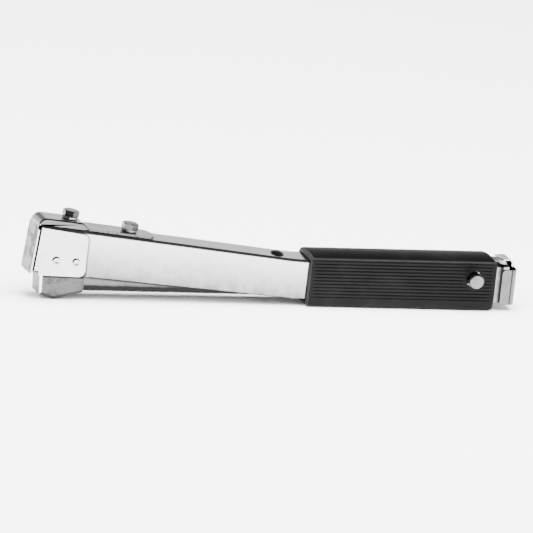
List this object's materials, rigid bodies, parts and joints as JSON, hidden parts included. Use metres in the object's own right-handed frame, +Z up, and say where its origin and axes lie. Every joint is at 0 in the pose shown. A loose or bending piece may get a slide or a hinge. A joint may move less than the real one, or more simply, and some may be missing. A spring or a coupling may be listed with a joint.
{
  "type": "hammer tacker",
  "caption": "Sheet-steel hammer tacker with a ribbed black grip, a swinging magazine under the handle, a driver held by hex screws and a rear follower with a thumb latch.",
  "frame": {"origin": "middle of the footprint, on the surface that the nose and the grip stand on", "axes": "+X from the striking nose to the rear cap, +Y to the side of the pin's nut, +Z up"},
  "size_m": [0.3428, 0.039, 0.0599],
  "materials": {
    "chrome": "bright nickel-chrome plate on rolled sheet, faintly hazed",
    "zinc_plate": "bright zinc plate",
    "sheet_steel": "dull nickel on rolled sheet",
    "spring_steel": "oiled hardened steel",
    "nose_steel": "satin hardened steel",
    "grip_rubber": "ribbed soft black vinyl rubber",
    "bumper_rubber": "plain black rubber",
    "staple_steel": "galvanised wire glued side by side",
    "bush_bronze": "sintered bronze"
  },
  "bodies": {
    "handle": {"body_channel": "chrome", "head_cover": "chrome", "cover_rivet_near_front": "chrome", "cover_rivet_near_rear": "chrome", "cover_rivet_far_front": "chrome", "cover_rivet_far_rear": "chrome", "driver_blade": "spring_steel", "clamp_block": "sheet_steel", "nut_plate": "sheet_steel", "clamp_screw": "zinc_plate", "clamp_screw_washer": "zinc_plate", "strap_screw": "zinc_plate", "strap_screw_washer": "zinc_plate", "bumper": "bumper_rubber", "return_spring": "spring_steel", "spring_rivet": "zinc_plate", "grip_sleeve": "grip_rubber", "pivot_pin": "zinc_plate", "pin_nut": "zinc_plate"},
    "magazine": {"nose": "nose_steel", "magazine_channel": "sheet_steel", "magazine_lid": "sheet_steel", "pivot_bush_near": "bush_bronze", "pivot_bush_far": "bush_bronze", "staple_rail": "sheet_steel", "staple_strip": "staple_steel"},
    "follower": {"rear_cap": "chrome", "guide_rod": "spring_steel", "rod_stop": "spring_steel", "spring_collar": "zinc_plate", "pusher_spring": "spring_steel", "latch_rivet": "chrome"},
    "pusher": {"pusher_block": "nose_steel"},
    "latch": {"thumb_latch": "chrome"}
  },
  "joints": [
    {"name": "magazine_swing", "type": "hinge", "parent": "handle", "child": "magazine", "pos_m": [0.1396, 0, 0.0214], "axis": [0, 1, 0], "range_deg": [0, 3], "stiffness_Nm_per_rad": 40, "springref_deg": -2.86, "deforming": ["return_spring"]},
    {"name": "follower_pull", "type": "slide", "parent": "magazine", "child": "follower", "axis": [1, 0, 0], "range_m": [0, 0.295]},
    {"name": "pusher_travel", "type": "slide", "parent": "follower", "child": "pusher", "axis": [1, 0, 0], "range_m": [0, 0.06], "stiffness_N_per_m": 15, "springref_m": -0.12, "deforming": ["pusher_spring"]},
    {"name": "latch_lift", "type": "hinge", "parent": "follower", "child": "latch", "pos_m": [0.1676, 0, 0.021], "axis": [0, 1, 0], "range_deg": [0, 10], "stiffness_Nm_per_rad": 0.3, "springref_deg": -5.73}
  ]
}
